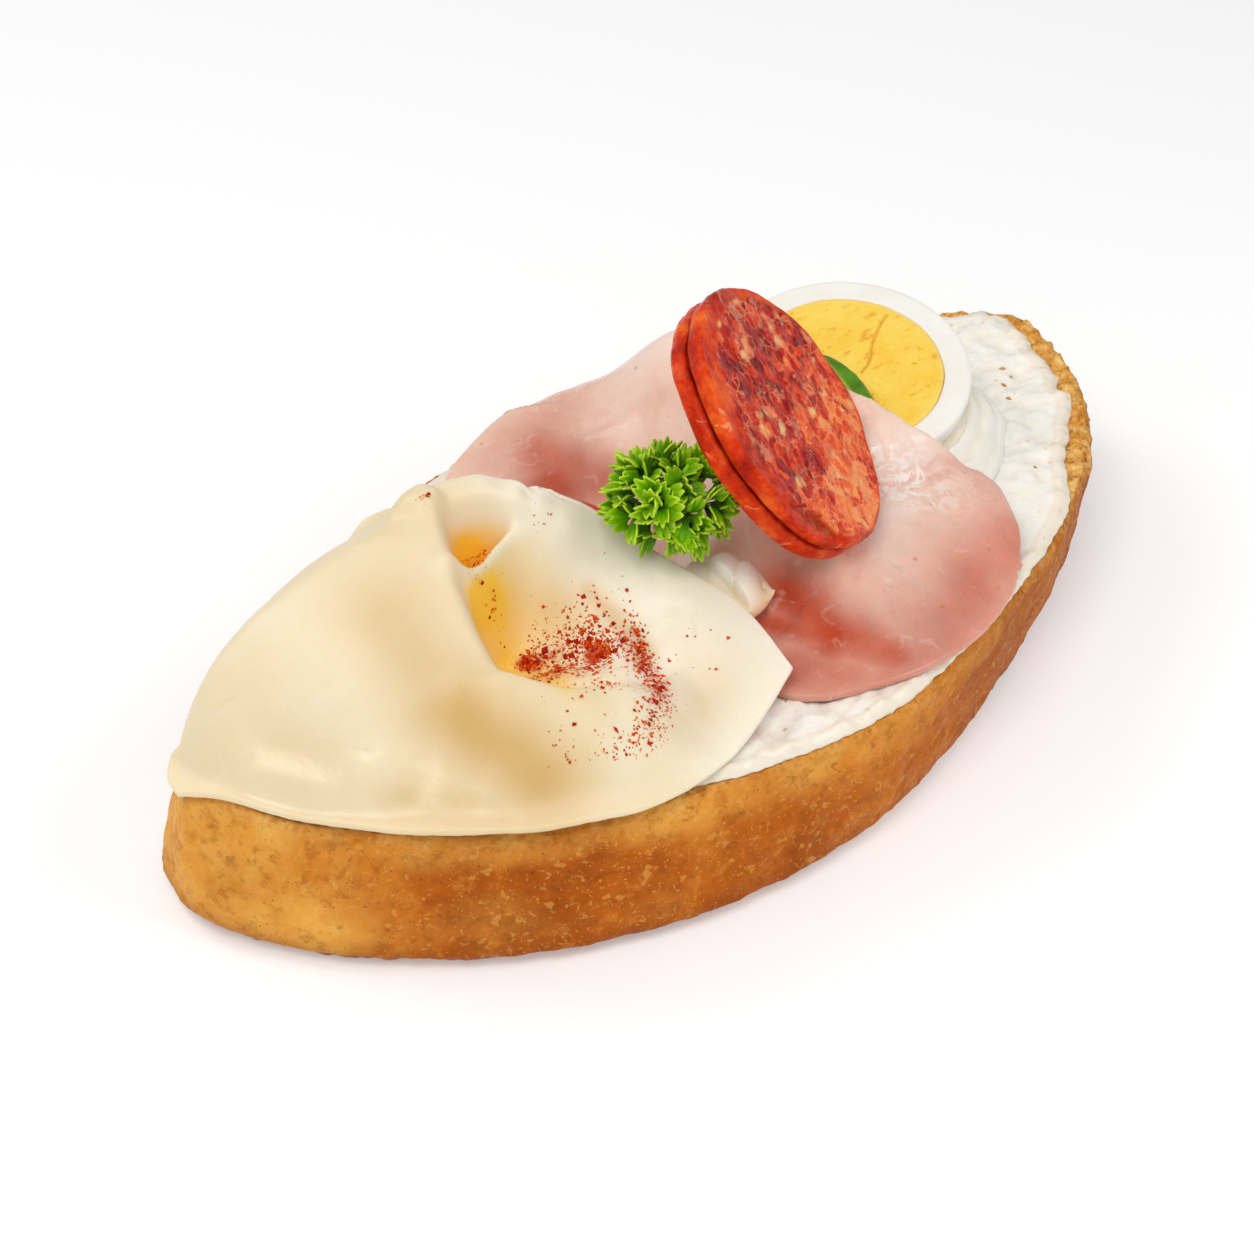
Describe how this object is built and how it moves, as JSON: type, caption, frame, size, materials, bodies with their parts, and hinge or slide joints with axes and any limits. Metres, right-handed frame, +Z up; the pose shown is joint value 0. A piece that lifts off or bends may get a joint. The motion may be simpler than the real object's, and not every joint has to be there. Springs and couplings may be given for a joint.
{
  "type": "open sandwich",
  "caption": "Open sandwich: an oblique slice of white bread with spread, draped cheese and ham, salami, egg slice, mayonnaise, tomato and a parsley sprig.",
  "frame": {"origin": "on the bread's flat base, near its middle", "axes": "+X along the bread's long axis towards the egg end, +Y towards the back edge, +Z up out of the base"},
  "size_m": [0.1614, 0.0848, 0.0643],
  "materials": {
    "crust": "matte",
    "cream_spread": "satin",
    "cheese": "satin",
    "ham": "satin",
    "salami": "glossy",
    "egg_white": "satin",
    "egg_yolk": "matte",
    "mayonnaise": "glossy",
    "tomato": "glossy",
    "gherkin": "glossy",
    "parsley_leaf": "matte"
  },
  "bodies": {
    "root": {"bread": "crust", "spread": "cream_spread", "cheese_slice": "cheese", "ham_slice": "ham", "salami_front": "salami", "salami_back": "salami", "egg_white": "egg_white", "egg_yolk": "egg_yolk", "mayo_egg": "mayonnaise", "mayo_centre": "mayonnaise", "gherkin": "gherkin", "tomato_back": "tomato", "tomato_front": "tomato", "parsley": "parsley_leaf"}
  },
  "joints": []
}
